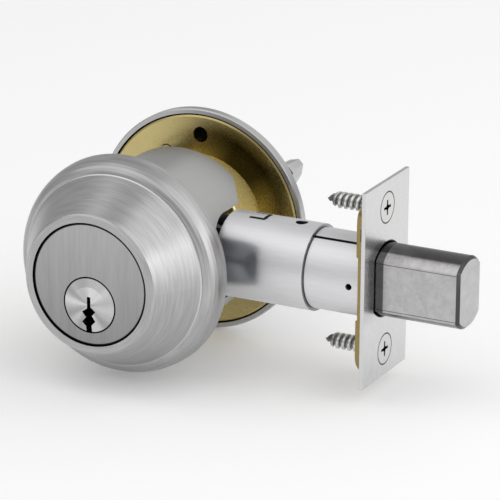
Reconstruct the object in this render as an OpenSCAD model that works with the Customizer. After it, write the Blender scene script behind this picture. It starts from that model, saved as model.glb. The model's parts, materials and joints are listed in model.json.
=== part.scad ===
// Single-cylinder deadbolt, drawn with the bolt thrown.
// X points to the edge of the door, Y from outside to inside, Z up.
// The origin is where the cross bore's axis meets the bolt's axis, at mid door.
// All sizes are in millimetres.

/* [Door] */
// Thickness of the door
door_t = 44.45; // [40:0.05:50]
// Distance from the cross bore's axis to the faceplate's front
backset = 70; // [64:0.5:80]
// Travel of the bolt
bolt_throw = 25.4; // [18:0.1:26]
// How far the turning axis lies under the bolt's axis
axis_drop = 6; // [5.5:0.1:6.5]

/* [Outside trim] */
// Diameter where the trim meets the door
trim_d = 63.4; // [60:0.1:70]
// Diameter of the ridge line
trim_ridge_d = 55.8; // [55:0.1:58]
// Diameter of the front lip
trim_lip_d = 40.7; // [39.5:0.1:43]
// Height of the ridge line over the door
trim_ridge_h = 7.3; // [6:0.1:9]
// Height of the lip over the door
trim_h = 21.7; // [20:0.1:25]
// Thickness of the trim's front flange
trim_flange_t = 2.5; // [2:0.1:3]
// Thickness of the tapered wall
trim_wall = 2.6; // [1.8:0.1:3]

/* [Key cylinder] */
// Diameter of the key cylinder
cyl_d = 34.9; // [33:0.1:36]
// Length of the key cylinder
cyl_len = 28.3; // [27:0.1:29]
// Diameter of the turning plug
plug_d = 12.7; // [12:0.1:13]
// Diameter of the plug's face
plug_head_d = 15.5; // [14.5:0.1:16]
// Number of pin stacks
pin_count = 5; // [3:1:6]
// Diameter of the pins
pin_d = 2.9; // [2.5:0.1:3]
// Distance between pin stacks
pin_pitch = 3.96; // [3.7:0.02:4.1]
// Width of the keyway's upper slot
keyway_w = 1.1; // [0.8:0.1:1.4]

/* [Cylinder housing] */
// Diameter of the housing in the cross bore
housing_d = 50; // [49:0.1:52]
// How far the housing reaches past mid door
housing_reach = 10.5; // [9:0.1:12]
// Half width of the notch that the bolt sleeve lies in
notch_r = 12.95; // [12.8:0.05:13.5]

/* [Bolt] */
// Diameter of the bolt
bolt_d = 20.7; // [18:0.1:21]
// Width of the bolt across its flats
bolt_w = 14.7; // [13:0.1:15]
// Length of the bolt
bolt_len = 37.4; // [36:0.1:40]
// Chamfer on the bolt's end
bolt_chamfer = 0.9; // [0.5:0.1:1.5]
// Diameter of the hardened roller in the bolt
roller_d = 6.3; // [4:0.1:7]
// Thickness of the bolt's tail
tail_t = 3; // [2:0.1:3.2]
// Diameter of the drive pin
drive_pin_d = 3; // [2.5:0.1:3.2]

/* [Bolt case] */
// Outer diameter of the rear sleeve
sleeve_d = 24.9; // [24.5:0.1:25.2]
// Wall of the rear sleeve
sleeve_wall = 0.85; // [0.7:0.05:1]
// Where the rear sleeve begins
sleeve_start = 22.4; // [22:0.1:23]
// Where the rear sleeve ends
sleeve_end = 49.8; // [46:0.1:53]
// Wall of the front tube
tube_wall = 0.75; // [0.6:0.05:0.8]
// Thickness of the crank frame's plates
frame_t = 1.6; // [1.2:0.1:1.7]
// Distance from the centre to the inside of each frame plate
frame_gap = 4.8; // [4.8:0.1:5]

/* [Faceplate] */
// Width of the faceplate
face_w = 28.575; // [27:0.005:32]
// Height of the faceplate
face_h = 57.15; // [56:0.05:62]
// Thickness of the faceplate
face_t = 1.2; // [1:0.1:2]
// Distance between the faceplate's screws
face_screw_spacing = 41.6; // [40:0.1:43]
// Length of the faceplate's wood screws
wood_screw_len = 18.3; // [15:0.1:25]
// Diameter of the wood screws' heads
wood_head_d = 8.5; // [7.5:0.1:9]
// Thickness of the backing plate behind the faceplate
backing_t = 1.8; // [1.4:0.1:2.6]

/* [Inside trim] */
// Diameter of the rose
rose_d = 66.4; // [65:0.1:70]
// Height of the rose over the door
rose_h = 14.7; // [14:0.1:17]
// Wall of the rose
rose_wall = 1.4; // [1:0.1:1.6]
// Diameter of the mounting plate
plate_d = 62.6; // [60:0.1:63]
// Thickness of the mounting plate
plate_t = 1.4; // [1:0.1:1.6]
// Diameter of the mounting plate's boss
boss_d = 39; // [37:0.1:40]
// Circle that the two machine screws lie on
screw_circle_d = 44; // [43.6:0.1:44.4]
// Diameter of the machine screws
machine_screw_d = 4.1; // [3.8:0.1:4.2]

/* [Thumbturn] */
// Length of the thumbturn's lever from its axis
turn_len = 25.5; // [20:0.5:27]
// Half width of the lever at its root
turn_root_w = 6.5; // [5:0.1:7]
// Half width of the lever at its tip
turn_tip_w = 1; // [0.8:0.1:3]
// Thickness of the lever
turn_t = 8; // [6.5:0.5:13]
// Distance from the rose to the lever
turn_neck = 9; // [5:0.5:10]

/* [Hidden] */
$fn = 96;
eps = 0.5;

// Clearances: running fits, snug fits, and free space between curved parts
run = 0.06;
snug = 0.05;
free = 0.3;
ring_gap = 0.45;

// The door's two faces
out_face = -door_t / 2;
in_face = door_t / 2;

// Turning axis and the swing of the crank
axis_z = -axis_drop;
swing = 45;
crank_r = bolt_throw / 2 / sin(swing);
pin_r = drive_pin_d / 2;
crank_dev = 0.7;
screw_angle = 120;

// Key cylinder
trim_front = out_face - trim_h;
trim_r = trim_d / 2;
ridge_r = trim_ridge_d / 2;
ridge_y = out_face - trim_ridge_h;
lip_r = trim_lip_d / 2;
lip_round = 0.5;
bead = 0.3;
cyl_r = cyl_d / 2;
cyl_face = trim_front + 0.4;
cyl_back = cyl_face + cyl_len;
trim_bore_r = cyl_r + ring_gap;
plug_r = plug_d / 2;
head_r = plug_head_d / 2;
head_t = 2.6;
plug_thread_r = 5.4;
first_pin_y = cyl_face + 5.8;
chamber_top = 15.2;
cover_w = 4.6;
cover_t = 1;
driver_len = 4.6;
shear_gap = 0.1;
driver_low = axis_z + plug_r + run + shear_gap;
cap_front = cyl_back + 0.2;
cap_len = 2.6;
cap_r = 7.6;
cap_lid_t = 0.8;
tail_head_r = 4.1;
bar_w = 6;
bar_t = 2;
bar_hole_r = 3.5;
drill_pin_r = 1;
drill_pin_len = 9;

// Cylinder housing
housing_r = housing_d / 2;
housing_front = ridge_y + 0.6;
housing_back = housing_reach;
web_front = cap_front + cap_len + free;
web_back = -(frame_gap + frame_t) - 0.9;
notch_floor_x = 18.6;
notch_y = -3.9;
relief_x = 16.8;
relief_angle = 39;
slot_top = 15.4;
screw_r = machine_screw_d / 2;
screw_x = screw_circle_d / 2 * cos(screw_angle);
screw_z = screw_circle_d / 2 * sin(screw_angle);
set_screw_y = housing_front + 4.5;
set_screw_r = 2;

// Bolt and its case
bolt_tip = backset + bolt_throw;
bolt_rear = bolt_tip - bolt_len;
tube_r = sleeve_d / 2 - sleeve_wall - snug;
tube_start = sleeve_end - 4;
backing_x = backset - face_t - backing_t;
hub_r = 5;
journal_r = 4;
frame_r = 9;
frame_end = 31.5;
frame_half_h = 9;
arm_in = tail_t / 2 + 0.7;
arm_out = frame_gap - 0.6;
arm_w = 5.4;
crank_x = crank_r * sin(swing);
fork_half = pin_r + crank_dev;
fork_arm = 2;
fork_top = axis_z + crank_r + 1.2;
fork_bottom = axis_z + crank_r * cos(swing) - pin_r - 0.4;
tail_low = 0;
tail_high = 7;
tail_front = bolt_rear + 8;
roller_len = 24;
roller_start = tail_front + 0.4;
tail_pin_x = bolt_rear + 4;
tail_pin_r = 1.5;
rivet_r = 1.3;
rivets = [[13, -6.6], [27, -6]];
dent_r = 8;
dent_y = -16.3;
dent_z = 1.7;
dent_end = 35.9;

// Inside trim
rose_r = rose_d / 2;
rose_front = in_face + rose_h;
rose_rim_h = 2.6;
rose_nose_r = 16.5;
rose_hole_r = 6.6;
plate_r = plate_d / 2;
boss_r = boss_d / 2;
boss_wall = 1.2;
boss_floor_hole_r = 9;
peg_hole_r = 2.3;
peg_hole_z = 25.7;
spindle_r = 4.5;
spindle_start = housing_back + 3;
bush_r = rose_hole_r - snug;
bush_flange_r = 8.6;
bush_flange_t = 1;
washer_t = 0.6;
clip_t = 1;
clip_r = 6.6;
clip_groove_r = 3.9;
bush_back = rose_front - rose_wall - bush_flange_t;
washer_back = bush_back - washer_t;
clip_back = washer_back - clip_t - 0.1;
turn_base = rose_front + 0.4;
turn_base_r = 8;
turn_back = rose_front + turn_neck;
turn_front = turn_back + turn_t;
spindle_end = turn_back + 4;
tailpiece_end = clip_back - 1;

// Fasteners
head_depth = 2.4;
wood_core_r = 1.45;
wood_thread_r = 2.1;
wood_pitch = 1.6;
wood_point = 4.5;
machine_head_r = 3.6;
machine_head_t = 2.2;
machine_depth = 18;

// ---------- helpers ----------

// Cylinder along Y from y0 to y1
module ycyl(r, y0, y1) {
    translate([0, y0, 0]) rotate([-90, 0, 0]) cylinder(r = r, h = y1 - y0);
}

// Cylinder along X from x0 to x1
module xcyl(r, x0, x1) {
    translate([x0, 0, 0]) rotate([0, 90, 0]) cylinder(r = r, h = x1 - x0);
}

// Turned piece around Y, from an outline of [radius, y] points
module turned_y(outline) {
    rotate([-90, 0, 0]) rotate_extrude() polygon(outline);
}

// Turned piece around X, from an outline of [radius, x] points
module turned_x(outline) {
    rotate([0, 90, 0]) rotate_extrude() polygon(outline);
}

// Flat outline in X and Z, extruded along Y from y0 to y1
module yprism(y0, y1) {
    translate([0, y1, 0]) rotate([90, 0, 0]) linear_extrude(y1 - y0) children();
}

// Flat outline in Y and Z, extruded along X from x0 to x1
module xprism(x0, x1) {
    translate([x0, 0, 0]) rotate([90, 0, 90]) linear_extrude(x1 - x0) children();
}

// Box between two corners
module block(a, b) {
    translate(a) cube(b - a);
}

// Moves its children to the turning axis
module on_axis() {
    translate([0, 0, axis_z]) children();
}

// Moves to the turning axis and leans towards the bolt, as the thrown crank does
module thrown() {
    on_axis() rotate([0, swing, 0]) children();
}

// Repeats its children at the two machine screws
module at_machine_screws() {
    for (s = [1, -1]) translate([s * screw_x, 0, s * screw_z]) children();
}

// Repeats its children at the faceplate's two screws
module at_face_screws() {
    for (s = [1, -1]) translate([0, 0, s * face_screw_spacing / 2]) children();
}

// Points on the curve that leaves a towards b and arrives at c, in n steps
function curve(a, b, c, n) = [for (i = [0 : n]) let (t = i / n)
    (1 - t) * (1 - t) * a + 2 * t * (1 - t) * b + t * t * c];

// Y position of pin stack i
function pin_y(i) = first_pin_y + i * pin_pitch;

// Depth of key cut i, as the length its key pin gains
function pin_extra(i) = [0.6, 1.8, 1.2, 0.3, 1.5, 0.9][i];

// ---------- outside trim and key cylinder ----------

// Rounded band between the door and the ridge line
function trim_band(n) = [for (i = [0 : n]) let (t = 90 * i / n)
    [ridge_r + (trim_r - ridge_r) * cos(t), out_face - trim_ridge_h * sin(t)]];

module outer_trim() {
    cone_slope = (ridge_r - lip_r) / (trim_h - trim_ridge_h);
    flange_back = trim_front + trim_flange_t;
    inner_front_r = lip_r + cone_slope * trim_flange_t - trim_wall;
    color("silver") turned_y(concat(trim_band(8), [
        [ridge_r, ridge_y - bead], [ridge_r - bead, ridge_y - 2 * bead],
        [lip_r, trim_front + lip_round], [lip_r - lip_round, trim_front],
        [trim_bore_r, trim_front], [trim_bore_r, flange_back],
        [inner_front_r, flange_back], [housing_r + snug, housing_front],
        [housing_r + snug, out_face]]));
}

module armor_ring() {
    cone_slope = (ridge_r - lip_r) / (trim_h - trim_ridge_h);
    front = trim_front + trim_flange_t + 0.1;
    front_r = lip_r + cone_slope * trim_flange_t - trim_wall - snug - 0.1;
    color("dimgray") turned_y([
        [trim_bore_r, front], [front_r, front],
        [housing_r - 0.2, housing_front - 0.1], [trim_bore_r, housing_front - 0.1]]);
}

// Notch for the bolt sleeve and room for the crank frame
module bolt_room() {
    back = housing_back + eps;
    side = frame_gap + frame_t + 0.9;
    translate([0, notch_y, 0]) xcyl(notch_r, notch_floor_x, housing_r + eps);
    block([notch_floor_x, notch_y, -notch_r], [housing_r + eps, back, notch_r]);
    translate([relief_x, housing_back, 0]) rotate([0, 0, relief_angle])
        block([0, -housing_d, -housing_d], [housing_d, housing_d, housing_d]);
    on_axis() ycyl(frame_r + 0.6, -side, back);
    block([-crank_x - fork_half - fork_arm - 0.8, -side, -3], [notch_floor_x + eps, back, slot_top]);
    block([0, -side, -frame_half_h - 0.6], [notch_floor_x + eps, back, 0]);
}

module cylinder_housing() {
    color("darkgray") difference() {
        ycyl(housing_r, housing_front, housing_back);
        ycyl(cyl_r + 0.1, housing_front - eps, web_front);
        bolt_room();
        on_axis() ycyl(bar_hole_r + 0.5, web_front - eps, 0);
        at_machine_screws() ycyl(screw_r + snug, housing_back - machine_depth, housing_back + eps);
        translate([0, set_screw_y, 0]) xcyl(set_screw_r + snug, -housing_r - eps, 0);
    }
}

module cylinder_set_screw() {
    socket_r = 1.1;
    color("dimgray") translate([0, set_screw_y, 0]) difference() {
        xcyl(set_screw_r, -housing_r + 0.4, -cyl_r + 0.8);
        translate([-housing_r, 0, 0]) rotate([0, 90, 0]) cylinder(r = socket_r, h = 2.6, $fn = 6);
    }
}

module key_cylinder() {
    color("lightgray") difference() {
        ycyl(cyl_r, cyl_face, cyl_back);
        on_axis() {
            ycyl(plug_r + run, cyl_face - eps, cyl_back + eps);
            ycyl(head_r + ring_gap, cyl_face - eps, cyl_face + head_t);
        }
        for (i = [0 : pin_count - 1]) translate([0, pin_y(i), axis_z])
            cylinder(r = pin_d / 2 + snug, h = chamber_top - axis_z + eps);
        block([-cover_w / 2 - snug, pin_y(0) - 3, chamber_top],
            [cover_w / 2 + snug, pin_y(pin_count - 1) + 3, cyl_r + eps]);
        translate([0, set_screw_y, 0]) xcyl(set_screw_r + snug, -cyl_r - eps, -cyl_r + 1);
        at_drill_pins() ycyl(drill_pin_r + snug, cyl_face + 3, cyl_face + 3 + drill_pin_len);
    }
}

// Repeats its children at the two hardened pins beside the plug
module at_drill_pins() {
    for (s = [-1, 1]) translate([s * 9.5, 0, axis_z + 4]) children();
}

module drill_pins() {
    color("gray") at_drill_pins() ycyl(drill_pin_r, cyl_face + 3, cyl_face + 3 + drill_pin_len);
}

// Warded slot in X and Z around the plug's axis
module keyway_outline() {
    h = keyway_w / 2;
    polygon([
        [-h, 2.5], [h, 2.5], [h, -0.4], [2.1, -1.6], [1, -2.9], [2.1, -4.4], [0.8, -5.8],
        [0.8, -9], [-1, -9], [-1, -6.2], [-2.1, -4.9], [-0.9, -3.5], [-2.1, -2], [-h, -0.9]]);
}

module plug() {
    plug_end = cap_front + cap_len - cap_lid_t - 0.1;
    color("gainsboro") on_axis() difference() {
        union() {
            turned_y([
                [0, cyl_face - 0.5], [plug_head_d / 2 - 2.4, cyl_face - 0.5], [head_r, cyl_face],
                [head_r, cyl_face + head_t - 0.1], [0, cyl_face + head_t - 0.1]]);
            ycyl(plug_r, cyl_face + 1, cyl_back);
            ycyl(plug_thread_r, cyl_back - 1, plug_end);
        }
        yprism(cyl_face - 1, cyl_back - 2.5) keyway_outline();
        for (i = [0 : pin_count - 1]) translate([0, pin_y(i), 0]) cylinder(r = pin_d / 2 + snug, h = plug_r + 1);
        ycyl(tail_head_r + 0.15, plug_end - 1.5, plug_end + eps);
    }
}

module key_pins() {
    top = sqrt(plug_r * plug_r - pin_d * pin_d / 4) - shear_gap;
    color("goldenrod") on_axis() for (i = [0 : pin_count - 1]) translate([0, pin_y(i), 0]) {
        low = top - 3.4 - pin_extra(i);
        translate([0, 0, low + 0.7]) cylinder(r = pin_d / 2, h = top - low - 0.7);
        translate([0, 0, low]) cylinder(r1 = pin_d / 4, r2 = pin_d / 2, h = 0.7);
    }
}

module driver_pins() {
    color("goldenrod") for (i = [0 : pin_count - 1]) translate([0, pin_y(i), driver_low])
        cylinder(r = pin_d / 2, h = driver_len);
}

// Closed helical wire along Z: r mean radius, wire radius w, height h, n turns
module coil(r, w, h, n) {
    sides = 6;
    steps = 10 * n;
    pts = [for (i = [0 : steps], j = [0 : sides - 1])
        let (a = 360 * n * i / steps, b = 360 * j / sides)
        [(r + w * cos(b)) * cos(a), (r + w * cos(b)) * sin(a), h * i / steps + w * sin(b)]];
    skin = [for (i = [0 : steps - 1], j = [0 : sides - 1]) let (k = (j + 1) % sides)
        [i * sides + j, i * sides + k, (i + 1) * sides + k, (i + 1) * sides + j]];
    ends = [[for (j = [0 : sides - 1]) sides - 1 - j], [for (j = [0 : sides - 1]) steps * sides + j]];
    polyhedron(points = pts, faces = concat(skin, ends));
}

module pin_springs() {
    wire = 0.25;
    low = driver_low + driver_len + wire;
    color("silver") for (i = [0 : pin_count - 1]) translate([0, pin_y(i), low])
        coil(pin_d / 2 - wire - 0.05, wire, chamber_top - low - wire, 7);
}

module chamber_cover() {
    color("silver") block([-cover_w / 2, pin_y(0) - 2.9, chamber_top],
        [cover_w / 2, pin_y(pin_count - 1) + 2.9, chamber_top + cover_t]);
}

module plug_cap() {
    color("gray") on_axis() difference() {
        ycyl(cap_r, cap_front, cap_front + cap_len);
        ycyl(plug_thread_r + snug, cap_front - eps, cap_front + cap_len - cap_lid_t);
        ycyl(bar_hole_r, cap_front, cap_front + cap_len + eps);
    }
}

// ---------- turning train ----------

module tailpiece() {
    head_front = cap_front + cap_len - cap_lid_t - 1.4;
    color("silver") thrown() {
        ycyl(tail_head_r, head_front, head_front + 1.2);
        block([-bar_t / 2, head_front + 1, -bar_w / 2], [bar_t / 2, tailpiece_end, bar_w / 2]);
    }
}

// Slot that the flat tailpiece passes through
module bar_slot(y0, y1) {
    c = 0.1;
    block([-bar_t / 2 - c, y0, -bar_w / 2 - c], [bar_t / 2 + c, y1, bar_w / 2 + c]);
}

module bolt_hub() {
    frame_out = frame_gap + frame_t;
    color("gray") thrown() difference() {
        union() {
            ycyl(hub_r, -frame_gap + free, frame_gap - free);
            ycyl(journal_r, -frame_out, frame_out);
            for (s = [0, 1]) mirror([0, s, 0]) {
                block([-arm_w / 2, arm_in, 0], [arm_w / 2, arm_out, crank_r]);
                translate([0, 0, crank_r]) ycyl(arm_w / 2, arm_in, arm_out);
            }
        }
        bar_slot(-frame_out - eps, frame_out + eps);
        translate([0, 0, crank_r]) ycyl(pin_r + snug, -frame_out, frame_out);
    }
}

module drive_pin() {
    color("silver") thrown() translate([0, 0, crank_r]) ycyl(pin_r, -arm_out, arm_out);
}

// One side plate of the crank frame, in X and Z
module frame_outline() {
    difference() {
        union() {
            translate([0, axis_z]) circle(r = frame_r);
            translate([0, -frame_half_h]) square([frame_end, 2 * frame_half_h]);
            translate([-frame_r, axis_z]) square([frame_r + 1, axis_drop + 2]);
        }
        translate([0, axis_z]) circle(r = journal_r + run);
        for (p = rivets) translate(p) circle(r = rivet_r + snug);
    }
}

module outer_frame_plate() {
    color("silver") yprism(-frame_gap - frame_t, -frame_gap) frame_outline();
}

module inner_frame_plate() {
    color("silver") yprism(frame_gap, frame_gap + frame_t) frame_outline();
}

module frame_rivets() {
    reach = frame_gap + frame_t;
    spacer_r = 2.3;
    head = 0.5;
    color("gray") for (p = rivets) translate([p[0], 0, p[1]]) {
        ycyl(rivet_r, -reach - head, reach + head);
        ycyl(spacer_r, -frame_gap, frame_gap);
        for (s = [0, 1]) mirror([0, s, 0]) ycyl(spacer_r - 0.1, reach, reach + head);
    }
}

// ---------- bolt and case ----------

// Bolt section in Y and Z, grown by g on every side
module bolt_section(g = 0) {
    intersection() {
        circle(d = bolt_d + 2 * g);
        square([bolt_w + 2 * g, bolt_d + 2 * g + 1], center = true);
    }
}

// Dent that the die presses into the near side of the sleeve
module dent(r, end) {
    translate([0, dent_y, dent_z]) {
        xcyl(r, sleeve_start - eps, end - r / 4);
        translate([end - r / 4, 0, 0]) rotate([0, 90, 0]) cylinder(r1 = r, r2 = r - r / 4, h = r / 4);
    }
}

module rear_sleeve() {
    r = sleeve_d / 2;
    tab = 4.4;
    cut = 0.5;
    tab_x = sleeve_start + 8.6;
    peep_x = sleeve_end - 6;
    color("gainsboro") difference() {
        union() {
            difference() {
                xcyl(r, sleeve_start, sleeve_end);
                xcyl(r - sleeve_wall, sleeve_start - eps, sleeve_end + eps);
            }
            intersection() {
                xcyl(r, sleeve_start, sleeve_end);
                dent(dent_r + sleeve_wall, dent_end + sleeve_wall);
            }
        }
        dent(dent_r, dent_end);
        translate([peep_x, 0, r - 2]) cylinder(r = 1.8, h = 3);
        for (s = [-1, 1]) translate([tab_x, s * tab / 2, r - 1.2]) block([-tab / 2, -cut / 2, -1], [tab / 2, cut / 2, 3]);
        translate([tab_x + tab / 2, 0, r - 1.2]) block([-cut, -tab / 2, -1], [0, tab / 2, 3]);
    }
}

module front_tube() {
    slit_angle = 24;
    slit = 0.6;
    peep_x = backing_x - 3.1;
    color("gainsboro") difference() {
        xcyl(tube_r, tube_start, backing_x);
        xcyl(tube_r - tube_wall, tube_start - eps, backing_x + eps);
        rotate([slit_angle, 0, 0]) block([tube_start - eps, -slit / 2, tube_r - 3], [backing_x + eps, slit / 2, tube_r + 1]);
        translate([peep_x, -tube_r - 1, 0]) ycyl(0.95, 0, 3);
    }
}

// Half of the backing plate's side outline in X and Z, stepped out and curved at its end
function backing_outline(half_h) = let (step = 0.5, step_z = 9, front = backset - face_t)
    concat([[front, -1], [backing_x, -1], [backing_x, step_z], [backing_x - step, step_z + 0.3]],
        curve([backing_x - step, half_h - 7], [backing_x - step, half_h - 1.5], [front - 0.3, half_h], 6),
        [[front, half_h]]);

module backing_plate() {
    half_w = 12.3;
    half_h = 25.6;
    round_r = 5;
    plate_hole_r = wood_core_r + (wood_head_d / 2 - wood_core_r) * (1 - face_t / head_depth) + 0.2;
    color("goldenrod") difference() {
        intersection() {
            for (s = [0, 1]) mirror([0, 0, s])
                yprism(-half_w, half_w) polygon(backing_outline(half_h));
            xprism(backing_x - 1, backset) union() {
                square([2 * half_w - 2 * round_r, 2 * half_h], center = true);
                square([2 * half_w, 2 * half_h - 2 * round_r], center = true);
                for (y = [-1, 1], z = [-1, 1])
                    translate([y * (half_w - round_r), z * (half_h - round_r)]) circle(r = round_r);
            }
        }
        xprism(backing_x - 1, backset) bolt_section(free + 0.1);
        xcyl(tube_r + snug, backing_x - 1, backing_x);
        at_face_screws() xcyl(plate_hole_r, backing_x - 2, backset);
        block([backset - face_t - 1.1, -half_w - 1, 14], [backset, -half_w + 2.4, 17.5]);
    }
}

module faceplate() {
    sink = (wood_head_d / 2 - wood_core_r) / head_depth;
    color("whitesmoke") difference() {
        block([backset - face_t, -face_w / 2, -face_h / 2], [backset, face_w / 2, face_h / 2]);
        xprism(backset - face_t - 1, backset + 1) bolt_section(free + 0.05);
        at_face_screws() turned_x([
            [0, backset - face_t - 1], [wood_head_d / 2 + 0.15 - sink * (face_t + 1), backset - face_t - 1],
            [wood_head_d / 2 + 0.15, backset], [wood_head_d / 2 + 0.15, backset + 1], [0, backset + 1]]);
    }
}

// Outline of a wood screw from its point to its flat head
function wood_outline() = let (
        tip = backset - wood_screw_len, start = tip + wood_point, stop = backset - head_depth - 0.5,
        n = floor((stop - start) / wood_pitch))
    concat([[0, tip]],
        [for (k = [0 : 2]) each let (x = tip + wood_point * (k + 0.6) / 3.4, f = (k + 0.8) / 3.6)
            [[wood_core_r * f, x - 0.35], [wood_thread_r * f + 0.15, x], [wood_core_r * f + 0.1, x + 0.4]]],
        [for (k = [0 : n - 1]) each let (x = start + k * wood_pitch)
            [[wood_core_r, x + 0.2], [wood_thread_r, x + 0.75], [wood_thread_r, x + 0.95], [wood_core_r, x + 1.4]]],
        [[wood_core_r, stop], [wood_core_r, backset - head_depth], [wood_head_d / 2, backset], [0, backset]]);

// Cross recess in a screw head whose face is at x, seen from +X
module cross_recess(x, r, depth) {
    for (a = [0, 90]) translate([x - depth, 0, 0]) rotate([a, 0, 0])
        block([0, -r, -0.4], [depth + 1, r, 0.4]);
    translate([x - depth - 0.4, 0, 0]) xcyl(0.9, 0, depth + 1);
}

module wood_screws() {
    color("silver") at_face_screws() difference() {
        turned_x(wood_outline());
        cross_recess(backset, 2.2, 1.2);
    }
}

module bolt() {
    r = bolt_d / 2;
    c = bolt_chamfer;
    color("darkgray") difference() {
        intersection() {
            xprism(bolt_rear, bolt_tip) bolt_section();
            turned_x([[0, bolt_rear - 1], [r + 1, bolt_rear - 1], [r + 1, bolt_tip - c - 1], [r - c, bolt_tip],
                [r - c, bolt_tip + 1], [0, bolt_tip + 1]]);
        }
        for (s = [0, 1]) mirror([0, s, 0]) translate([bolt_tip - c, bolt_w / 2, 0]) rotate([0, 0, 45])
            block([0, -5, -r - 1], [5, 5, r + 1]);
        xcyl(roller_d / 2 + run, bolt_rear - eps, roller_start + roller_len + 0.4);
        block([bolt_rear - eps, -tail_t / 2 - snug, tail_low - snug], [tail_front + snug, tail_t / 2 + snug, tail_high + snug]);
        translate([tail_pin_x, 0, (tail_low + tail_high) / 2]) ycyl(tail_pin_r + snug, -bolt_w, bolt_w);
    }
}

module bolt_tail() {
    prong_in = crank_x - fork_half - fork_arm;
    prong_out = crank_x + fork_half + fork_arm;
    color("silver") difference() {
        union() {
            block([prong_in, -tail_t / 2, tail_low], [tail_front, tail_t / 2, tail_high]);
            block([prong_in, -tail_t / 2, tail_low], [prong_out, tail_t / 2, fork_top]);
        }
        block([crank_x - fork_half, -tail_t, fork_bottom], [crank_x + fork_half, tail_t, fork_top + 1]);
        translate([tail_pin_x, 0, (tail_low + tail_high) / 2]) ycyl(tail_pin_r + snug, -tail_t, tail_t);
    }
}

module tail_pin() {
    half = bolt_w / 2 - 0.1;
    color("gray") translate([tail_pin_x, 0, (tail_low + tail_high) / 2]) ycyl(tail_pin_r, -half, half);
}

module bolt_roller() {
    color("dimgray") xcyl(roller_d / 2, roller_start, roller_start + roller_len);
}

// ---------- inside trim ----------

module mounting_plate() {
    groove = 0.4;
    color("darkgoldenrod") difference() {
        union() {
            turned_y([
                [boss_r - boss_wall, in_face], [plate_r - 0.5, in_face], [plate_r, in_face + 0.3],
                [plate_r, in_face + plate_t], [boss_r - boss_wall, in_face + plate_t]]);
            turned_y([
                [0, housing_back], [boss_r - 0.4, housing_back], [boss_r, housing_back + 0.6],
                [boss_r + 0.2, in_face], [boss_r + 0.2, in_face + plate_t], [boss_r - boss_wall, in_face + plate_t],
                [boss_r - boss_wall, housing_back + boss_wall], [0, housing_back + boss_wall]]);
        }
        on_axis() ycyl(boss_floor_hole_r, housing_back - eps, housing_back + boss_wall + eps);
        turned_y([
            [boss_r + 0.2, in_face - 1], [boss_r + 0.2 + groove, in_face - 1],
            [boss_r + 0.2 + groove, in_face + groove], [boss_r + 0.2, in_face + groove]]);
        translate([0, 0, peg_hole_z]) ycyl(peg_hole_r, in_face - 1, in_face + plate_t + 1);
        at_machine_screws() ycyl(screw_r + 0.2, in_face - 1, in_face + plate_t + 1);
    }
}

module machine_screws() {
    under_head = in_face + plate_t;
    tip = housing_back - machine_depth + 1.5;
    color("silver") at_machine_screws() difference() {
        union() {
            turned_y([[0, tip], [screw_r - 0.5, tip], [screw_r, tip + 0.5], [screw_r, under_head + 0.2], [0, under_head + 0.2]]);
            turned_y([[0, under_head], [machine_head_r, under_head], [machine_head_r, under_head + 1],
                [machine_head_r - 1, under_head + machine_head_t], [0, under_head + machine_head_t]]);
        }
        translate([0, under_head + machine_head_t, 0]) rotate([0, 0, 90]) cross_recess(0, 1.9, 1.3);
    }
}

module rose() {
    w = rose_wall;
    rim = [rose_r, in_face + rose_rim_h];
    bend = [rose_r - 4.7, rose_front - 5.4];
    nose = [rose_nose_r, rose_front];
    color("gainsboro") difference() {
        turned_y(concat(
            [[rose_r - w, in_face], [rose_r - 0.3, in_face], [rose_r, in_face + 0.3]],
            curve(rim, bend, nose, 12),
            [[0, rose_front], [0, rose_front - w]],
            curve(nose - [0.3, w], bend - [1, 1.2], rim - [w, 0.6], 12)));
        on_axis() ycyl(rose_hole_r, rose_front - w - eps, rose_front + eps);
    }
}

module spindle_bushing() {
    color("white") on_axis() turned_y([
        [spindle_r + run, bush_back], [bush_flange_r, bush_back], [bush_flange_r, bush_back + bush_flange_t],
        [bush_r, bush_back + bush_flange_t], [bush_r, rose_front], [spindle_r + run, rose_front]]);
}

module spindle_washer() {
    color("silver") on_axis() difference() {
        ycyl(bush_flange_r - 1, washer_back, bush_back);
        ycyl(spindle_r + 0.3, washer_back - eps, bush_back + eps);
    }
}

module spindle_clip() {
    color("dimgray") thrown() difference() {
        ycyl(clip_r, clip_back, clip_back + clip_t);
        ycyl(clip_groove_r + snug, clip_back - eps, clip_back + clip_t + eps);
        block([-1.6, clip_back - eps, 0], [1.6, clip_back + clip_t + eps, clip_r + eps]);
    }
}

module thumbturn_spindle() {
    color("silver") thrown() difference() {
        ycyl(spindle_r, spindle_start, spindle_end);
        difference() {
            ycyl(spindle_r + eps, clip_back - 0.1, clip_back + clip_t + 0.1);
            ycyl(clip_groove_r, clip_back - 1, clip_back + clip_t + 1);
        }
        bar_slot(spindle_start - eps, tailpiece_end + 0.5);
    }
}

// Quarter outline of the lever across its width, and along its length in Y
function lever_width() = [[turn_root_w, 0], [turn_root_w - 2.1, 0.6 * turn_len],
    [turn_tip_w + 1.7, 0.88 * turn_len], [turn_tip_w, turn_len]];
function lever_back() = [[turn_back, 0], [turn_back, 0.96 * turn_len], [turn_front - 3.2, turn_len]];
function lever_front() = [[turn_front, 0], [turn_front, 0.55 * turn_len], [turn_front - 0.4, 0.8 * turn_len],
    [turn_front - 2, turn_len]];

// Closed outline from two edges that run from the root to the tip, mirrored about the root
function both_ways(a, b) = let (n = len(a) - 1, m = len(b) - 1) concat(
    a, [for (i = [m : -1 : 0]) b[i]],
    [for (i = [1 : m]) [b[i][0], -b[i][1]]], [for (i = [n : -1 : 1]) [a[i][0], -a[i][1]]]);

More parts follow.
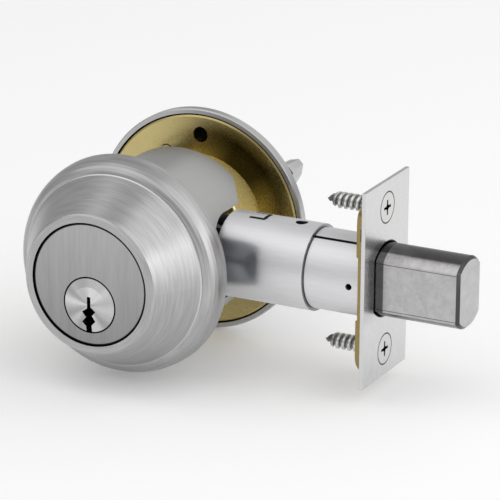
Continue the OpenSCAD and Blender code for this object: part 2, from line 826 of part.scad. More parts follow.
module thumbturn() {
    half = lever_width();
    far = [for (q = half) [-q[0], q[1]]];
    color("gainsboro") thrown() difference() {
        union() {
            turned_y([
                [spindle_r + snug, turn_base], [turn_base_r, turn_base], [turn_base_r, turn_base + 2],
                [turn_base_r - 2, turn_base + 5], [turn_base_r - 2, turn_back + 1], [spindle_r + snug, turn_back + 1]]);
            intersection() {
                yprism(turn_back - 1, turn_front + 1) polygon(both_ways(half, far));
                xprism(-turn_len, turn_len) polygon(both_ways(lever_front(), lever_back()));
            }
            ycyl(turn_root_w, turn_back, turn_front - 0.1);
        }
        ycyl(spindle_r + snug, turn_base - eps, spindle_end + 0.1);
    }
}

outer_trim();
armor_ring();
cylinder_housing();
key_cylinder();
cylinder_set_screw();
plug();
key_pins();
driver_pins();
pin_springs();
chamber_cover();
drill_pins();
plug_cap();
tailpiece();
bolt_hub();
drive_pin();
outer_frame_plate();
inner_frame_plate();
frame_rivets();
rear_sleeve();
front_tube();
backing_plate();
faceplate();
wood_screws();
bolt();
bolt_tail();
tail_pin();
bolt_roller();
mounting_plate();
machine_screws();
rose();
spindle_bushing();
spindle_washer();
spindle_clip();
thumbturn_spindle();
thumbturn();
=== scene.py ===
"""Looks for a deadbolt door lock: finishes, detailed pieces, floor, lights and camera.

Everything is in metres in the part's own frame: X along the bolt to the door's edge,
-Y out of the keyed side, +Y out of the thumbturn side, Z up.
"""

import json
import math

import bmesh
import bpy
from mathutils import Matrix, Vector


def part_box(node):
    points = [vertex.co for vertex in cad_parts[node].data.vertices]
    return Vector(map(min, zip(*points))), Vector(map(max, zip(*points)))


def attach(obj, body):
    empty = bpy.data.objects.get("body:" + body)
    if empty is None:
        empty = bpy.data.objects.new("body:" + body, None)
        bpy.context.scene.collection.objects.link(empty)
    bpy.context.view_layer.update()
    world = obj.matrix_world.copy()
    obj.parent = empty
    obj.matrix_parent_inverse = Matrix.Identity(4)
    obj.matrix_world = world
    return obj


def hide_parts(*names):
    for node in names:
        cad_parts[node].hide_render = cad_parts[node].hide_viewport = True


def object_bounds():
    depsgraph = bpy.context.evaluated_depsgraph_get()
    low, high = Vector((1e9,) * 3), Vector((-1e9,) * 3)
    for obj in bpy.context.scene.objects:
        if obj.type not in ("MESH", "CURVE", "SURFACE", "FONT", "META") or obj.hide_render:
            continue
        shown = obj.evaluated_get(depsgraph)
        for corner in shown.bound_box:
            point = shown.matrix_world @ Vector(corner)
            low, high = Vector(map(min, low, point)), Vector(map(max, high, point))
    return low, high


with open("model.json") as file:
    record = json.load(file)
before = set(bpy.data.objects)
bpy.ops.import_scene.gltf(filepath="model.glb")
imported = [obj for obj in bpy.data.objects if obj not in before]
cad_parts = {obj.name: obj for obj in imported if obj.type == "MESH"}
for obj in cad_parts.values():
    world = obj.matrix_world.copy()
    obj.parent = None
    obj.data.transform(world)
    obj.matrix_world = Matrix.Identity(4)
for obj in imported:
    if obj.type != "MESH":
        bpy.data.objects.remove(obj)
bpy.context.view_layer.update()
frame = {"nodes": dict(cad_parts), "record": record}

MM = 0.001

# ---------------------------------------------------------------- camera

AZIMUTH = math.radians(26.81)
ELEVATION = math.radians(18.76)
ROLL = math.radians(0.46)
DISTANCE = 1024.3 * MM
LENS = 257.7
SENSOR = 36
ACROSS = 24.61 * MM
ABOVE = -2.56 * MM


def add_camera():
    """A long lens from the keyed side, above and towards the bolt."""
    turn = Matrix.Rotation(AZIMUTH, 4, "Z") @ Matrix.Rotation(math.pi / 2 - ELEVATION, 4, "X")
    place = turn @ Vector((ACROSS, ABOVE, DISTANCE))
    data = bpy.data.cameras.new("camera")
    data.lens = LENS
    data.sensor_width = SENSOR
    data.clip_end = 10
    camera = bpy.data.objects.new("camera", data)
    camera.matrix_world = Matrix.Translation(place) @ turn @ Matrix.Rotation(ROLL, 4, "Z")
    bpy.context.scene.collection.objects.link(camera)
    bpy.context.scene.camera = camera


# ---------------------------------------------------------------- shader maths

# Places of a Mix node's colour sockets, which share their names with its other sockets
MIX_LOW, MIX_HIGH, MIX_RESULT = 6, 7, 2


class Field:
    """A number that varies over a surface; arithmetic on it adds Math nodes."""

    def __init__(self, finish, socket):
        self.finish = finish
        self.socket = socket

    def math(self, operation, *others):
        """Adds a Math node that works on this field and the others."""
        node = self.finish.node("ShaderNodeMath", {"operation": operation}, [self, *others])
        return Field(self.finish, node.outputs[0])

    def __add__(self, other):
        return self.math("ADD", other)

    def __sub__(self, other):
        return self.math("SUBTRACT", other)

    def __rsub__(self, other):
        return self.math("MULTIPLY", -1.0).math("ADD", other)

    def __mul__(self, other):
        return self.math("MULTIPLY", other)

    def __truediv__(self, other):
        return self.math("DIVIDE", other)

    def above(self, level, soft):
        """0 below the level and 1 above it, over a soft edge."""
        return ((self - level) / soft + 0.5).math("MINIMUM", 1.0).math("MAXIMUM", 0.0)

    def below(self, level, soft):
        """1 below the level and 0 above it, over a soft edge."""
        return 1.0 - self.above(level, soft)

    def within(self, low, high, soft):
        """1 between two levels and 0 outside them, over soft edges."""
        return self.above(low, soft) * self.below(high, soft)

    def size(self):
        """The value without its sign."""
        return self.math("ABSOLUTE")

    __radd__ = __add__
    __rmul__ = __mul__


class Finish:
    """One procedural material around a Principled shader."""

    def __init__(self, name, colour, metallic=1.0, roughness=0.3):
        self.material = bpy.data.materials.new(name)
        self.material.use_nodes = True
        self.tree = self.material.node_tree
        self.shader = next(n for n in self.tree.nodes if n.type == "BSDF_PRINCIPLED")
        self.set("Base Color", (*colour, 1.0))
        self.set("Metallic", metallic)
        self.set("Roughness", roughness)
        self.material.diffuse_color = (*colour, 1.0)

    def set(self, socket, value):
        """Sets or links one of the shader's sockets."""
        self.feed(self.shader.inputs[socket], value)

    def feed(self, socket, value):
        """Links a field or a socket to a socket, or sets the socket's own value."""
        if isinstance(value, Field):
            self.tree.links.new(value.socket, socket)
        elif isinstance(value, bpy.types.NodeSocket):
            self.tree.links.new(value, socket)
        else:
            socket.default_value = value

    def node(self, kind, settings=None, inputs=()):
        """Adds a node: settings first, then values or links by socket name or order."""
        node = self.tree.nodes.new(kind)
        for key, value in (settings or {}).items():
            setattr(node, key, value)
        pairs = inputs.items() if isinstance(inputs, dict) else enumerate(inputs)
        for key, value in pairs:
            self.feed(node.inputs[key], value)
        return node

    def place(self, centre=(0, 0, 0)):
        """X, Y and Z of the surface point, from a centre, as three fields."""
        coordinates = self.node("ShaderNodeTexCoord")
        inputs = {"Vector": coordinates.outputs["Object"], "Location": [-c for c in centre]}
        moved = self.node("ShaderNodeMapping", {"vector_type": "POINT"}, inputs)
        parts = self.node("ShaderNodeSeparateXYZ", None, [moved.outputs[0]])
        return [Field(self, out) for out in parts.outputs]

    def noise(self, x, y, z, detail=2.0, roughness=0.5):
        """Smooth noise from 0 to 1 at the given place; one unit is one blob."""
        joined = self.node("ShaderNodeCombineXYZ", None, [x, y, z])
        inputs = {"Vector": joined.outputs[0], "Scale": 1.0, "Detail": detail, "Roughness": roughness}
        made = self.node("ShaderNodeTexNoise", {"noise_dimensions": "3D"}, inputs)
        return Field(self, made.outputs[0])

    def radius(self, a, b):
        """Distance from the axis at a = b = 0."""
        return (a * a + b * b).math("SQRT")

    def blend(self, mask, low, high):
        """A colour that goes from low to high as mask goes from 0 to 1."""
        layers = {"Factor": mask, MIX_LOW: low, MIX_HIGH: high}
        return self.node("ShaderNodeMix", {"data_type": "RGBA"}, layers).outputs[MIX_RESULT]

    def paint(self, mask, colour):
        """Covers the base colour with another one where mask is 1."""
        base = self.shader.inputs["Base Color"]
        old = base.links[0].from_socket if base.is_linked else tuple(base.default_value)
        self.set("Base Color", self.blend(mask, old, (*colour, 1.0)))

    def darken(self, mask, amount=0.94):
        """Turns the base colour towards black where mask is 1."""
        self.paint(mask * amount, BLACK)

    def tint(self, mask, dark, light):
        """Makes the base colour go from dark to light as mask goes from 0 to 1."""
        self.set("Base Color", self.blend(mask, (*dark, 1.0), (*light, 1.0)))

    def bump(self, height, depth):
        """Feeds the normal from a height field; depth is in metres per unit of height."""
        made = self.node("ShaderNodeBump", None, {"Strength": 1.0, "Distance": depth, "Height": height})
        self.set("Normal", made.outputs[0])


# ---------------------------------------------------------------- places and sizes

# Door, trim, rose and key cylinder
LIP_Y, DOOR_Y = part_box("outer_trim")[0].y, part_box("outer_trim")[1].y
TRIM_BORE_R = 17.9 * MM
RIDGE_Y = DOOR_Y - 7.3 * MM
LEVER_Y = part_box("thumbturn")[0].y
FACE_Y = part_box("key_cylinder")[0].y
FACE_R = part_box("key_cylinder")[1].x
AXIS_Z = (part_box("plug_cap")[0].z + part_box("plug_cap")[1].z) / 2

# Notch of the housing that the bolt's sleeve lies in
NOTCH = (18.6 * MM, -3.9 * MM, 0)
NOTCH_R = 12.95 * MM

# Gold pieces: the mounting plate round its boss, and the backing plate past BACKING_X
BOSS_R = 19.5 * MM
BACKING_X = 60 * MM
# Turn round the Y axis of the painted dark reflection and shade on the mounting plate
SHADE_SWEEP_TURN = math.radians(52)

# Tubes of the bolt case
SLEEVE_R = 12.45 * MM
SLEEVE_WALL = 0.85 * MM
SLEEVE_START, SLEEVE_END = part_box("rear_sleeve")[0].x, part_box("rear_sleeve")[1].x
DENT_R = 8 * MM
DENT_CENTRE = Vector((0, -16.3 * MM, 1.7 * MM))
DENT_HALF = 5.9 * MM
DENT_END = 35.9 * MM
DENT_SLOPE = 0.9
DENT_CREASE = 2.6 * MM
DENT_FADE = 0.9 * MM
TAB_X = 31.0 * MM
TAB_HALF = 2.2 * MM
TAB_CUT = 0.25 * MM
PEEP_X = 43.8 * MM
PEEP_R = 1.8 * MM
SLIT_TURN = math.radians(24)

# Faceplate, bolt and wood screws
PLATE_BACK, PLATE_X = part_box("faceplate")[0].x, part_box("faceplate")[1].x
BOLT_TIP, BOLT_HALF_W, BOLT_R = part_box("bolt")[1]
BOLT_EDGE_Z = math.sqrt(BOLT_R ** 2 - BOLT_HALF_W ** 2)
BOLT_CHAMFER = 0.9 * MM
SCREW_Z = 20.8 * MM
SCREW_HEAD_R = 4.25 * MM
RECESS_R = 2.4 * MM
SCREW_TIP_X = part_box("wood_screws")[0].x
HEAD_BACK_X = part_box("wood_screws")[1].x - 2.4 * MM
THREAD_R = 2.35 * MM
CORE_R = 1.65 * MM
THREAD_PITCH = 1.8 * MM
POINT = 3.6 * MM

# Shares of the pitch: half the foot of a thread's crest, and the width of its flank
CREST_FOOT, FLANK = 0.36, 0.16

# Softness of the edge of a line or patch of colour
EDGE = 0.1 * MM


# ---------------------------------------------------------------- finishes

# Colours that the finishes are painted with
BLACK = (0, 0, 0)
SATIN = (0.5, 0.5, 0.5)
# Painted highlight along the trim's ridge
RIDGE_HIGHLIGHT = (0.85, 0.85, 0.85)
# Painted shaded and highlit sectors of the plug, standing in for its turned sheen
PLUG_SHADED_SECTOR, PLUG_HIGHLIT_SECTOR = (0.38, 0.38, 0.38), (0.7, 0.71, 0.7)
# Brass of the pins, painted as glints on the keyway's walls
BRASS_GLINT = (0.8, 0.58, 0.2)
# Ends of the mounting plate's painted light, from shaded olive to lit straw
SHADED_OLIVE, LIT_STRAW = (0.4, 0.32, 0.12), (0.62, 0.52, 0.25)
BACKING_GOLD = (0.31, 0.235, 0.095)
# Painted highlight on the turned boss
BOSS_HIGHLIGHT_GOLD = (1.0, 0.8, 0.3)
# Painted grey shade in the sleeve's dent
DENT_SHADE_GREY = (0.75, 0.77, 0.82)

# Grain: how far the roughness swings, and the size of the rings of a turned surface
ROUGH_SWING = 0.14
RING_PITCH = 0.34 * MM
RING_LENGTH = 7 * MM
RING_DEPTH = 0.004 * MM


def shade(colour, factor):
    """Colour made darker or lighter by a factor."""
    return tuple(min(1.0, c * factor) for c in colour)


def mix_grain(f, colour, rough, fine, broad, depth, spread):
    """Lets a fine and a broad grain vary the colour, the roughness and the height."""
    grain = fine * 0.6 + broad * 0.4
    f.tint(grain, shade(colour, 1 - 2 * spread), shade(colour, 1 + 2 * spread))
    f.set("Roughness", (grain - 0.5) * ROUGH_SWING + rough)
    f.bump(fine, depth)


def streak(f, colour, rough, x, z, off, length, spread):
    """Grain of streaks that lie side by side along the field off, and fade in and out over a length."""
    across = off * (1 / RING_PITCH)
    fine = f.noise(x * (1 / length), z * (1 / length), across, detail=1)
    broad = f.noise(x * (0.6 / length), z * (0.6 / length), across * 0.35, detail=1)
    mix_grain(f, colour, rough, fine, broad, RING_DEPTH, spread)


def turned(name, colour, rough, centre_z=0.0, length=RING_LENGTH, spread=0.2):
    """Metal brushed round an axis along Y."""
    f = Finish(name, colour)
    x, y, z = f.place((0, 0, centre_z))
    streak(f, colour, rough, x, z, f.radius(x, z) + y * 0.8, length, spread)
    return f


def drawn(name, colour, rough, along="X", pitch=0.45 * MM, length=12 * MM, depth=0.01 * MM, spread=0.16):
    """Metal with a straight grain along one axis."""
    f = Finish(name, colour)
    scales = [1 / length if axis == along else 1 / pitch for axis in "XYZ"]
    place = f.place()
    fine = f.noise(*(p * s for p, s in zip(place, scales)), detail=3, roughness=0.7)
    broad = f.noise(*(p * (s * 0.2) for p, s in zip(place, scales)), detail=2)
    mix_grain(f, colour, rough, fine, broad, depth, spread)
    return f


def cast(name, colour, rough, blob=0.5 * MM, depth=0.006 * MM, spread=0.08):
    """Metal with an even, fine-grained skin."""
    f = Finish(name, colour)
    x, y, z = f.place()
    fine = f.noise(x * (1 / blob), y * (1 / blob), z * (1 / blob), detail=4, roughness=0.65)
    broad = f.noise(x * (0.12 / blob), y * (0.12 / blob), z * (0.12 / blob), detail=2)
    mix_grain(f, colour, rough, fine, broad, depth, spread)
    return f


def trim_finish():
    """Turned satin chrome, with a painted highlight along the ridge and painted shade in the bore behind
    the lip.
    """
    f = turned("satin_trim", (0.45, 0.45, 0.455), 0.36)
    x, y, z = f.place()
    # Painted shade in the bore behind the lip
    inside = f.radius(x, z).below(TRIM_BORE_R + 0.06 * MM, 0.04 * MM)
    f.darken(inside * y.above(LIP_Y + 0.08 * MM, 0.06 * MM))
    # Painted highlight: a light line along the ridge
    ridge = y.within(RIDGE_Y - 0.62 * MM, RIDGE_Y - 0.05 * MM, 0.05 * MM)
    f.paint(ridge * 0.45, RIDGE_HIGHLIGHT)
    return f


def face_finish():
    """Upright brushed disc, with painted shade growing towards its foot, behind its face and round its
    rim.
    """
    f = drawn("cylinder_face", (0.43, 0.43, 0.435), 0.34, along="Z", length=9 * MM, pitch=0.33 * MM)
    x, y, z = f.place()
    # Painted shade, growing towards the disc's foot
    f.darken(z.below(-2 * MM, 34 * MM), 0.34)
    # Painted shade in the groove behind the face
    f.darken(y.above(FACE_Y + 0.08 * MM, 0.06 * MM))
    # Painted shade round the rim, where the disc meets the trim's lip
    f.darken(f.radius(x, z).above(FACE_R - 0.3 * MM, 0.08 * MM))
    return f


def plug_finish():
    """Turned plug with painted highlight and shade in sectors for its sheen, painted shade in its
    keyway, and painted brass glints deep in it.
    """
    f = turned("plug_metal", SATIN, 0.28, centre_z=AXIS_Z, length=3 * MM)
    x, y, z = f.place((0, 0, AXIS_Z))
    radius = f.radius(x, z) + 0.2 * MM
    # Painted highlight and shade: sectors of the plug lighter or darker, for the sheen of its turned
    # face
    sectors = f.noise(x / radius * 1.3, z / radius * 1.3, 4.7, detail=1)
    f.tint(sectors.above(0.5, 0.3), PLUG_SHADED_SECTOR, PLUG_HIGHLIT_SECTOR)
    # Painted shade inside the keyway
    deep = y.above(FACE_Y + 0.08 * MM, 0.06 * MM)
    f.darken(deep, 0.95)
    # Painted brass glints low in the keyway, standing for the lit brass pins behind
    low = z.below(-4 * MM, 2 * MM) * f.noise(x * 900.0, y * 500.0, z * 700.0).above(0.5, 0.1)
    f.paint(deep * low * y.below(FACE_Y + 4 * MM, 1 * MM), BRASS_GLINT)
    return f


def housing_finish():
    """Satin casting, with painted shade where the bolt's sleeve lies in it."""
    f = drawn("satin_casting", (0.47, 0.47, 0.465), 0.36, along="Y", depth=0.003 * MM, spread=0.04)
    x, y, z = f.place(NOTCH)
    # Painted shade in the notch round the sleeve
    wall = f.radius(y, z).below(NOTCH_R + 0.07 * MM, 0.04 * MM)
    f.darken(wall * x.above(-0.1 * MM, EDGE), 0.97)
    return f


def gold_plate_finish():
    """Yellow passivated zinc: painted light, brighter towards the lower left with a random drift, a
    painted dark reflection and shade sweeping across the mounting plate, and a painted highlight on the
    boss.
    """
    f = cast("gold_zinc", (0.56, 0.46, 0.2), 0.27, blob=0.8 * MM, depth=0.002 * MM, spread=0.02)
    x, y, z = f.place()
    radius = f.radius(x, z) + 0.5 * MM
    # Painted light: brighter towards the lower left, dimmer towards the upper right, with a random drift
    toward = (x * 0.85 + z * 0.5) / radius
    drift = f.noise(x * 90.0, y * 90.0, z * 90.0, detail=2)
    f.tint((toward * -0.25 + 0.62) + (drift - 0.5) * 0.2, SHADED_OLIVE, LIT_STRAW)
    # Painted dark reflection and shade sweeping across the mounting plate
    bow = (x * math.cos(SHADE_SWEEP_TURN) + z * math.sin(SHADE_SWEEP_TURN)) / radius
    f.darken(bow.above(0.84, 0.24) * radius.below(30 * MM, 5 * MM) * y.above(DOOR_Y, EDGE), 0.9)
    f.paint(x.above(BACKING_X, MM), BACKING_GOLD)
    # Painted highlight on the boss's side, with a lower Metallic so the lit gold shows
    boss = f.radius(x, z).below(BOSS_R + 0.3 * MM, EDGE) * y.above(0, MM)
    f.paint(boss, BOSS_HIGHLIGHT_GOLD)
    f.set("Metallic", 1.0 - boss * 0.45)
    return f


def rose_finish():
    """Turned satin rose; the lever in front of it has a straight grain along its length."""
    f = Finish("satin_rose", SATIN)
    x, y, z = f.place()
    lever = y.above(LEVER_Y, 0.2 * MM)
    rings = (f.radius(x, z) + y * 0.8) * (1.0 - lever)
    streak(f, SATIN, 0.33, x, z, rings + (x - z) * 0.7 * lever, RING_LENGTH, 0.12)
    return f


def tube_finish():
    """Bright zinc tubes: fine grain, painted grey shade in the dent, painted shade along the cuts and
    inside the tube, and dark edges where the tubes meet.
    """
    f = drawn("bright_tube", (0.82, 0.82, 0.835), 0.52, pitch=0.5 * MM, length=8 * MM, spread=0.07)
    x, y, z = f.place()
    # Painted shade in the dent, varied in patches
    patch = f.noise(x * 260.0, y * 160.0, z * 160.0, detail=3)
    ahead = (x - (DENT_END - 3 * MM)).math("MAXIMUM", 0.0)
    aside = ((z - DENT_CENTRE.z).size() - (DENT_HALF - 3 * MM)).math("MAXIMUM", 0.0)
    dent = f.radius(ahead, aside).below(2.7 * MM, MM) * y.below(-3 * MM, MM)
    dent = dent * x.below(SLEEVE_END - 2 * MM, EDGE)
    f.paint(dent * (0.85 - (patch - 0.5) * 0.9), DENT_SHADE_GREY)
    # Painted shade along the lanced tab's cuts
    above = z.above(8 * MM, EDGE)
    beside = (x - TAB_X).size().below(TAB_HALF + 0.3 * MM, 0.05 * MM)
    side = (y.size() - TAB_HALF).size().below(0.55 * MM, 0.12 * MM) * beside
    end = (x - TAB_X - TAB_HALF).size().below(0.6 * MM, 0.12 * MM) * y.size().below(TAB_HALF, EDGE)
    f.darken(above * side.math("MAXIMUM", end), 0.9)
    # Painted shade on the inside of the tube, seen through the cuts
    inner = f.radius(y, z).below(SLEEVE_R - 0.25 * MM, EDGE)
    f.darken(above * inner * x.below(SLEEVE_END - 0.5 * MM, EDGE), 0.93)
    f.darken(x.within(SLEEVE_END, SLEEVE_END + 0.4 * MM, EDGE), 0.85)
    seam = (y * math.cos(SLIT_TURN) + z * math.sin(SLIT_TURN)).size().below(0.5 * MM, 0.12 * MM)
    f.darken(x.above(SLEEVE_END, EDGE) * z.above(0, MM) * seam, 0.9)
    return f


def plate_finish():
    """Satin plate, with painted shade in lines round the bolt's opening and the two screws, and beside
    the bolt.
    """
    f = drawn("satin_plate", (0.68, 0.68, 0.685), 0.27, along="Z", length=4 * MM, spread=0.05)
    x, y, z = f.place()
    # Painted shade in the gap round the bolt's opening
    opening = (f.radius(y, z) - BOLT_R).math("MAXIMUM", y.size() - BOLT_HALF_W)
    f.darken(opening.below(0.65 * MM, EDGE), 0.93)
    # Painted shade on the plate's face beside the bolt
    beside = y.below(-BOLT_HALF_W, 3 * MM) * z.size().below(9.5 * MM, 3 * MM)
    f.darken(beside * x.above(PLATE_X - 0.1 * MM, 0.05 * MM), 0.12)
    # Painted shade in the gaps round the screw heads
    f.darken(f.radius(y, z.size() - SCREW_Z).below(SCREW_HEAD_R + 0.4 * MM, EDGE), 0.93)
    return f


def bolt_finish():
    """Ground bolt: mottled flats, smoother round sides with painted shade and a painted dark reflection
    on them, painted shade on the chamfers and edges, and a painted dark reflection of the faceplate next
    to it.
    """
    f = cast("bolt_steel", (0.52, 0.51, 0.515), 0.24, blob=0.7 * MM, depth=0.01 * MM, spread=0.1)
    x, y, z = f.place()
    height = z.size()
    tip = x.above(BOLT_TIP - 0.06 * MM, 0.04 * MM)
    body = x.below(BOLT_TIP - BOLT_CHAMFER - 0.1 * MM, EDGE)
    blotch = f.noise(x * 500.0, y * 300.0, z * 400.0, detail=4, roughness=0.7).below(0.5, 0.3)
    f.darken(body * blotch, 0.16)
    # Painted shade on the round sides, a painted dark reflection along their top, shade underneath, and
    # a dark line at the edge of the flats
    f.darken(height.within(BOLT_EDGE_Z + 0.8 * MM, BOLT_R, 0.4 * MM) * body, 0.05)
    f.darken(height.above(BOLT_R - 1.1 * MM, 0.3 * MM) * body, 0.75)
    f.darken(z.below(-BOLT_EDGE_Z - 0.1 * MM, 0.3 * MM) * body, 0.55)
    f.darken((height - BOLT_EDGE_Z + 0.6 * MM).size().below(0.13 * MM, 0.08 * MM) * body, 0.6)
    # Painted dark reflection of the faceplate on the bolt next to it
    f.darken(x.below(PLATE_X + 2.5 * MM, 0.15 * MM), 0.75)
    # Painted shade on the chamfers
    f.darken((1.0 - tip) * (1.0 - body), 0.85)
    f.darken(tip * blotch, 0.12)
    return f


def screw_finish():
    """Zinc plated screws: painted shade in the recess, and in the valleys of the thread, which are
    darker than its crests.
    """
    f = cast("screw_steel", (0.68, 0.68, 0.67), 0.3)
    x, y, z = f.place()
    around = f.radius(y, z.size() - SCREW_Z)
    # Painted shade in the recess
    recess = x.within(PLATE_X - 2 * MM, PLATE_X - 0.12 * MM, 0.08 * MM) * around.below(RECESS_R, EDGE)
    f.darken(recess, 0.93)
    # Painted shade in the thread's valleys
    valley = around.below(THREAD_R - 0.35 * MM, 0.3 * MM) * x.below(PLATE_BACK, EDGE)
    f.darken(valley * x.above(20 * MM, MM), 0.65)
    return f


def nylon(name):
    """White moulded nylon."""
    f = cast(name, (0.84, 0.84, 0.81), 0.45, depth=0.003 * MM, spread=0.02)
    f.set("Metallic", 0.0)
    return f


FINISHES = {
    "satin_trim": trim_finish(),
    "satin_casting": housing_finish(),
    "cylinder_face": face_finish(),
    "plug_metal": plug_finish(),
    "satin_rose": rose_finish(),
    "satin_plate": plate_finish(),
    "bright_tube": tube_finish(),
    "bolt_steel": bolt_finish(),
    "gold_zinc": gold_plate_finish(),
    "zinc_steel": cast("zinc_steel", (0.6, 0.61, 0.63), 0.32),
    "screw_steel": screw_finish(),
    "hardened_steel": cast("hardened_steel", (0.3, 0.3, 0.31), 0.35),
    "spring_steel": cast("spring_steel", (0.45, 0.45, 0.46), 0.3),
    "pin_brass": cast("pin_brass", (0.75, 0.55, 0.24), 0.25),
    "white_nylon": nylon("white_nylon"),
}


SLOT_OF = {part["node"]: part["material_slot"] for part in frame["record"]["subparts"]}
BODY_OF = {n: body for body, nodes in frame["record"]["behaviour"]["bodies"].items() for n in nodes}


def dress(mesh, node):
    """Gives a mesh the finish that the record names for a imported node."""
    mesh.materials.clear()
    mesh.materials.append(FINISHES[SLOT_OF[node]].material)


# ---------------------------------------------------------------- pieces

# Degrees between two faces past which their edge is sharp
CORNER, THREAD_CORNER, SLEEVE_CORNER = 35, 40, 50

# Distance under which two corners of a CAD mesh are one, and the turn under which faces are flat
SAME_PLACE = 1e-6
FLAT = math.radians(0.5)

# Grids: the steps along and around the sleeve, and how many sides and rows a screw's shank has
SLEEVE_ROW = 0.3 * MM
SLEEVE_COLUMN = math.pi / 110
SCREW_SIDES, SCREW_ROWS = 40, 150

# How far a shank reaches into its head, and where its thread ends and fades out before it
INTO_HEAD = 0.6 * MM
THREAD_GAP = 0.4 * MM
THREAD_FADE = 1.2 * MM


def merged_copy(node):
    """A bmesh of a CAD node's surface with its split corners joined."""
    build = bmesh.new()
    build.from_mesh(frame["nodes"][node].data)
    bmesh.ops.remove_doubles(build, verts=build.verts, dist=SAME_PLACE)
    return build


def new_piece(build, node, sharp=CORNER):
    """Turns a bmesh into a shown piece that stands for a CAD node and rides with its body."""
    name = node + "_look"
    mesh = bpy.data.meshes.new(name)
    bmesh.ops.recalc_face_normals(build, faces=build.faces)
    for face in build.faces:
        face.smooth = True
    build.to_mesh(mesh)
    build.free()
    if "custom_normal" in mesh.attributes:
        mesh.attributes.remove(mesh.attributes["custom_normal"])
    mesh.set_sharp_from_angle(angle=math.radians(sharp))
    dress(mesh, node)
    piece = bpy.data.objects.new(name, mesh)
    bpy.context.scene.collection.objects.link(piece)
    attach(piece, BODY_OF[node])
    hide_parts(node)
    return piece


def soften(piece, width, segments=2, angle=CORNER):
    """Small rounded edges where faces meet sharply."""
    bevel = piece.modifiers.new("edges", "BEVEL")
    bevel.width = width
    bevel.segments = segments
    bevel.limit_method = "ANGLE"
    bevel.angle_limit = math.radians(angle)
    bevel.harden_normals = True
    bevel.use_clamp_overlap = True


def softened(node, width, segments=2, angle=CORNER):
    """A copy of a CAD node with its sharp edges slightly rounded."""
    build = merged_copy(node)
    bmesh.ops.dissolve_limit(build, angle_limit=FLAT, verts=build.verts, edges=build.edges)
    piece = new_piece(build, node, sharp=angle)
    soften(piece, width, segments, angle)
    return piece


def soft_positive(value, soft):
    """value where it is well above 0, and 0 where it is well below, with a soft corner."""
    return (value + math.sqrt(value * value + soft * soft)) / 2 if value > -12 * soft else 0.0


def dent_depth(x, point):
    """How far the sleeve is pressed in at a point of its surface."""
    inside = DENT_R - math.hypot(point.y - DENT_CENTRE.y, point.z - DENT_CENTRE.z)
    along = (DENT_END - x) * DENT_SLOPE
    nearer = (inside + along - math.sqrt((inside - along) ** 2 + DENT_CREASE ** 2)) / 2
    return soft_positive(nearer + 0.2 * MM, DENT_FADE)


def lines(low, high, step, extra=()):
    """Even grid lines from low to high, moved aside for the extra ones."""
    count = round((high - low) / step)
    even = [low + (high - low) * i / count for i in range(count + 1)]
    kept = [v for v in even if all(abs(v - e) > 0.45 * step for e in extra) or v in (low, high)]
    return sorted(kept + list(extra))


def rear_sleeve():
    """Sleeve with its soft dent, lanced tab and peep hole."""
    cuts = [TAB_X - TAB_HALF, TAB_X + TAB_HALF - 2 * TAB_CUT, TAB_X + TAB_HALF]
    rows = lines(SLEEVE_START, SLEEVE_END, SLEEVE_ROW, cuts)
    edge = [math.asin((s * TAB_HALF + c * TAB_CUT) / SLEEVE_R) for s in (-1, 1) for c in (-1, 1)]
    columns = lines(-math.pi, math.pi, SLEEVE_COLUMN, edge)[:-1]
    build = bmesh.new()
    grid = []
    for x in rows:
        ring = []
        for turn in columns:
            out = Vector((0, math.sin(turn), math.cos(turn)))
            point = Vector((x, 0, 0)) + out * SLEEVE_R
            ring.append(build.verts.new(point - out * dent_depth(x, point)))
        grid.append(ring)
    holes = []
    for i in range(len(rows) - 1):
        for j in range(len(columns)):
            k = (j + 1) % len(columns)
            face = build.faces.new((grid[i][j], grid[i][k], grid[i + 1][k], grid[i + 1][j]))
            middle = face.calc_center_median()
            if middle.z > 0 and in_cut(middle):
                holes.append(face)
    bmesh.ops.delete(build, geom=holes, context="FACES")
    round_peep(build)
    piece = new_piece(build, "rear_sleeve", sharp=SLEEVE_CORNER)
    wall = piece.modifiers.new("wall", "SOLIDIFY")
    wall.thickness = SLEEVE_WALL
    wall.offset = -1
    soften(piece, 0.12 * MM, angle=SLEEVE_CORNER)
    return piece


def in_cut(middle):
    """Whether a face lies in the tab's cut or in the peep hole."""
    off, side = middle.x - TAB_X, abs(middle.y)
    beside = abs(off) < TAB_HALF and abs(side - TAB_HALF) < TAB_CUT
    across = TAB_HALF - 2 * TAB_CUT < off < TAB_HALF and side < TAB_HALF
    return beside or across or math.hypot(middle.x - PEEP_X, middle.y) < PEEP_R


def round_peep(build):
    """Moves the stepped border of the peep hole onto its circle."""
    for vert in build.verts:
        if vert.is_boundary and vert.co.z > 0:
            flat = Vector((vert.co.x - PEEP_X, vert.co.y))
            if flat.length < PEEP_R + 0.5 * MM:
                flat = flat.normalized() * PEEP_R
                vert.co.x, vert.co.y = PEEP_X + flat.x, flat.y
                vert.co.z = math.sqrt(SLEEVE_R ** 2 - flat.y ** 2)


def thread_radius(x, turn):
    """Radius of the wood screw's helical thread at a place along it and an angle round it."""
    body = min(1.0, max(0.0, (x - SCREW_TIP_X) / POINT)) ** 0.8
    phase = ((x / THREAD_PITCH - turn / (2 * math.pi)) % 1.0) - 0.5
    crest = min(1.0, max(0.0, (CREST_FOOT - abs(phase)) / FLANK))
    fade = min(1.0, max(0.0, (HEAD_BACK_X - THREAD_GAP - x) / THREAD_FADE))
    return body * CORE_R + crest * fade * min(1.0, body * 1.4) * (THREAD_R - CORE_R)


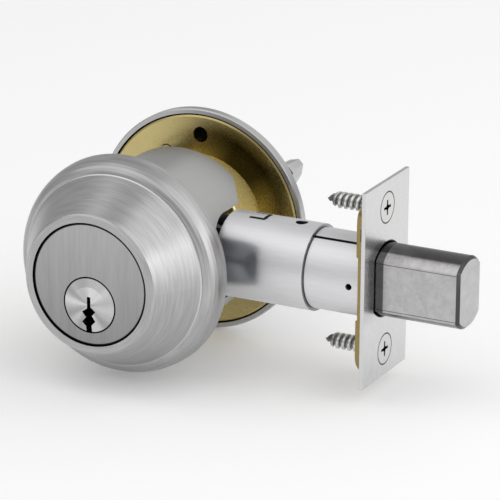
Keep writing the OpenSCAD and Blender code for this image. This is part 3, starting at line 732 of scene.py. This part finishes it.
def wood_screws():
    """Heads taken from the CAD node, with helical threads on their shanks."""
    build = merged_copy("wood_screws")
    everything = build.verts[:] + build.edges[:] + build.faces[:]
    cut = {"plane_co": (HEAD_BACK_X, 0, 0), "plane_no": (1, 0, 0), "clear_inner": True}
    bmesh.ops.bisect_plane(build, geom=everything, **cut)
    end = HEAD_BACK_X + INTO_HEAD
    turns = [2 * math.pi * j / SCREW_SIDES for j in range(SCREW_SIDES)]
    for z in (-SCREW_Z, SCREW_Z):
        rings = []
        for i in range(1, SCREW_ROWS + 1):
            x = SCREW_TIP_X + (end - SCREW_TIP_X) * i / SCREW_ROWS
            reach = [thread_radius(x, a) for a in turns]
            points = [(x, r * math.sin(a), z + r * math.cos(a)) for r, a in zip(reach, turns)]
            rings.append([build.verts.new(p) for p in points])
        tip = build.verts.new((SCREW_TIP_X, 0, z))
        for j in range(SCREW_SIDES):
            k = (j + 1) % SCREW_SIDES
            build.faces.new((tip, rings[0][k], rings[0][j]))
            for a, b in zip(rings, rings[1:]):
                build.faces.new((a[j], a[k], b[k], b[j]))
    return new_piece(build, "wood_screws", sharp=THREAD_CORNER)


def add_pieces():
    """Every piece that stands for a CAD node; the other nodes are shown as they are."""
    rear_sleeve()
    wood_screws()
    softened("bolt", 0.06 * MM)
    softened("faceplate", 0.15 * MM)
    softened("cylinder_housing", 0.25 * MM)
    softened("backing_plate", 0.2 * MM)
    softened("thumbturn", 0.35 * MM, segments=3, angle=18)
    softened("key_cylinder", 0.1 * MM)
    softened("front_tube", 0.1 * MM)


# ---------------------------------------------------------------- floor and light

FLOOR_HALF = 6
FLOOR_GLOW = 0.14
STUDIO_GLOW = 0.5

# Points that the soft panels face
MIDDLE = (0.03, 0, 0)
TUBE = (0.05, 0, 0)


def add_floor():
    """A large pale floor under the lowest point."""
    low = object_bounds()[0][2]
    build = bmesh.new()
    bmesh.ops.create_grid(build, x_segments=1, y_segments=1, size=FLOOR_HALF)
    bmesh.ops.translate(build, vec=(0, 0, low), verts=build.verts)
    mesh = bpy.data.meshes.new("floor")
    build.to_mesh(mesh)
    build.free()
    floor = bpy.data.objects.new("floor", mesh)
    bpy.context.scene.collection.objects.link(floor)
    look = Finish("floor", (0.93, 0.93, 0.93), metallic=0.0, roughness=0.9)
    look.set("Emission Color", (1, 1, 1, 1))
    look.set("Emission Strength", FLOOR_GLOW)
    mesh.materials.append(look.material)


def add_panel(name, place, aim, size, glow):
    """A rectangular soft light that faces aim; glow is its brightness as seen in a mirror."""
    data = bpy.data.lights.new(name, "AREA")
    data.shape = "RECTANGLE"
    data.size, data.size_y = size
    data.energy = glow * math.pi * size[0] * size[1]
    lamp = bpy.data.objects.new(name, data)
    away = Vector(place) - Vector(aim)
    lamp.matrix_world = Matrix.Translation(place) @ away.to_track_quat("Z", "Y").to_matrix().to_4x4()
    bpy.context.scene.collection.objects.link(lamp)


def add_lights():
    """An even studio glow and four soft panels."""
    world = bpy.data.worlds.new("studio")
    world.use_nodes = True
    world.node_tree.nodes["Background"].inputs["Color"].default_value = (1, 1, 1, 1)
    world.node_tree.nodes["Background"].inputs["Strength"].default_value = STUDIO_GLOW
    bpy.context.scene.world = world
    add_panel("key", (0.9, -0.05, 0.95), MIDDLE, (1.6, 1.6), 0.75)
    add_panel("front_left", (-0.5, -0.5, 1.05), MIDDLE, (1.4, 1.2), 0.7)
    add_panel("back", (0.35, 1.1, 0.8), MIDDLE, (1.6, 1.0), 0.38)
    add_panel("low_right", (1.1, 0.15, 0.2), TUBE, (1.0, 0.7), 1.2)


bpy.context.scene.view_settings.view_transform = "Standard"
add_camera()
for name in SLOT_OF:
    dress(frame["nodes"][name].data, name)
add_pieces()
add_floor()
add_lights()
